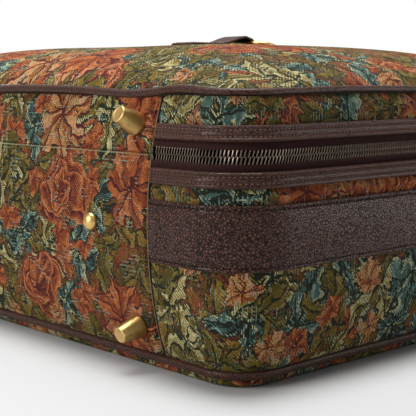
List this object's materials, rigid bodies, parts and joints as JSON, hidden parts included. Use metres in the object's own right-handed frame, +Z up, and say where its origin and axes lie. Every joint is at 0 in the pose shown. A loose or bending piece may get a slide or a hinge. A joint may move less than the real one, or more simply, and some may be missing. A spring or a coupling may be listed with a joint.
{
  "type": "suitcase",
  "caption": "Soft-sided zip-round suitcase in floral tapestry with leather trim and brass feet, lying on its back, lid hinged along the base.",
  "frame": {"origin": "middle of the back panel, on the surface that the case lies on", "axes": "+X along the long base, +Y from the base towards the handle side, +Z up out of the lid"},
  "size_m": [0.5322, 0.4081, 0.2268],
  "materials": {
    "tapestry": "woven floral jacquard",
    "leather": "pebbled, satin",
    "zip_tape": "woven tape",
    "dark_metal": "antiqued dark metal",
    "brass": "satin",
    "lining": "plain lining cloth",
    "board": "pressed fibre board",
    "padding": "foam"
  },
  "bodies": {
    "tray": {"back_panel": "tapestry", "back_pad": "padding", "tray_gusset": "tapestry", "base_panel": "tapestry", "base_board": "board", "back_piping": "leather", "leather_band": "leather", "tray_zip_binding": "leather", "tray_zip_tape": "zip_tape", "tray_zip_teeth": "dark_metal", "tray_zip_stops": "dark_metal", "tray_lining": "lining", "base_feet": "brass", "base_studs": "brass", "base_nuts": "brass", "handle_chapes": "leather"},
    "lid": {"lid_panel": "tapestry", "lid_gusset": "tapestry", "lid_base_panel": "tapestry", "lid_base_board": "board", "lid_piping": "leather", "lid_zip_binding": "leather", "lid_zip_tape": "zip_tape", "lid_zip_teeth": "dark_metal", "lid_zip_stops": "dark_metal", "lid_lining": "lining", "lid_lining_panel": "lining", "lid_feet": "brass", "lid_nuts": "brass", "lid_tab": "leather"},
    "handle": {"handle_grip": "leather", "handle_rings": "brass"},
    "lid_ring": {"lid_ring": "brass"},
    "right_slider": {"right_slider": "dark_metal"},
    "right_pull": {"right_pull_link": "brass", "right_pull_tab": "leather"},
    "left_slider": {"left_slider": "dark_metal"},
    "left_pull": {"left_pull_link": "brass", "left_pull_tab": "leather"}
  },
  "joints": [
    {"name": "lid_hinge", "type": "hinge", "parent": "tray", "child": "lid", "pos_m": [0, -0.18477, 0.144], "axis": [1, 0, 0], "range_deg": [0, 100]},
    {"name": "handle_pivot", "type": "hinge", "parent": "tray", "child": "handle", "pos_m": [0, 0.1993, 0.0955], "axis": [1, 0, 0], "range_deg": [0, 120]},
    {"name": "lid_ring_pivot", "type": "hinge", "parent": "lid", "child": "lid_ring", "pos_m": [0, 0.0685, 0.22121], "axis": [1, 0, 0], "range_deg": [0, 150]},
    {"name": "right_slider_run", "type": "slide", "parent": "tray", "child": "right_slider", "axis": [1, 0, 0], "range_m": [0, 0.19]},
    {"name": "right_pull_swing", "type": "hinge", "parent": "right_slider", "child": "right_pull", "pos_m": [0.0085, 0.18477, 0.144], "axis": [0, 1, 0], "range_deg": [-80, 5]},
    {"name": "left_slider_run", "type": "slide", "parent": "tray", "child": "left_slider", "axis": [1, 0, 0], "range_m": [-0.19, 0]},
    {"name": "left_pull_swing", "type": "hinge", "parent": "left_slider", "child": "left_pull", "pos_m": [-0.0085, 0.18477, 0.144], "axis": [0, 1, 0], "range_deg": [-5, 80]}
  ]
}
